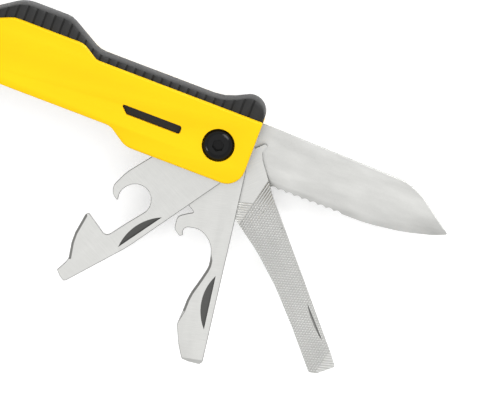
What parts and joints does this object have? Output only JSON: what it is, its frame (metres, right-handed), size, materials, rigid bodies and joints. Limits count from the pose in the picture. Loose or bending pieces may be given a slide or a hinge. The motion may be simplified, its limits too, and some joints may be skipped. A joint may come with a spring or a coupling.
{
  "type": "painters multi tool",
  "caption": "Folding painter's multi tool: knife, file, cap lifter and can opener on one pivot, in a handle that carries a fixed scraper head.",
  "frame": {"origin": "on the rear plate's outer flat face, at the handle's middle", "axes": "+X along the handle towards the open knife blade, +Y towards the spine, +Z from the rear plate to the front plate"},
  "size_m": [0.2341, 0.0939, 0.0186],
  "materials": {
    "yellow_nylon": "moulded nylon, satin",
    "black_grip": "moulded grip body, matt",
    "black_nylon": "moulded nylon, matt",
    "steel": "fine ground stainless steel",
    "bronze": "turned bronze washer",
    "black_oxide": "black oxide on steel"
  },
  "bodies": {
    "handle": {"front_plate": "yellow_nylon", "rear_plate": "yellow_nylon", "front_shell": "black_grip", "rear_shell": "black_grip", "front_tang_spacer": "black_nylon", "rear_tang_spacer": "black_nylon", "pivot_screw": "black_oxide", "pivot_nut": "black_oxide", "tang_screw_1": "black_oxide", "tang_screw_2": "black_oxide", "tang_nut_1": "black_oxide", "tang_nut_2": "black_oxide", "front_liner": "steel", "rear_liner": "steel", "stop_pin": "steel", "well_spacer": "steel", "scraper_head": "steel", "washer_1": "bronze", "washer_2": "bronze", "washer_3": "bronze", "washer_4": "bronze", "washer_5": "bronze"},
    "knife": {"knife_blade": "steel"},
    "file": {"file": "steel"},
    "cap_lifter": {"cap_lifter": "steel"},
    "can_opener": {"can_opener": "steel"}
  },
  "joints": [
    {"name": "knife_pivot", "type": "hinge", "parent": "handle", "child": "knife", "pos_m": [0.045, 0, 0], "axis": [0, 0, 1], "range_deg": [-180, 0]},
    {"name": "file_pivot", "type": "hinge", "parent": "handle", "child": "file", "pos_m": [0.045, 0, 0], "axis": [0, 0, 1], "range_deg": [-131.6, 43.4]},
    {"name": "cap_lifter_pivot", "type": "hinge", "parent": "handle", "child": "cap_lifter", "pos_m": [0.045, 0, 0], "axis": [0, 0, 1], "range_deg": [-97.2, 75.8]},
    {"name": "can_opener_pivot", "type": "hinge", "parent": "handle", "child": "can_opener", "pos_m": [0.045, 0, 0], "axis": [0, 0, 1], "range_deg": [-54.8, 117.2]}
  ]
}
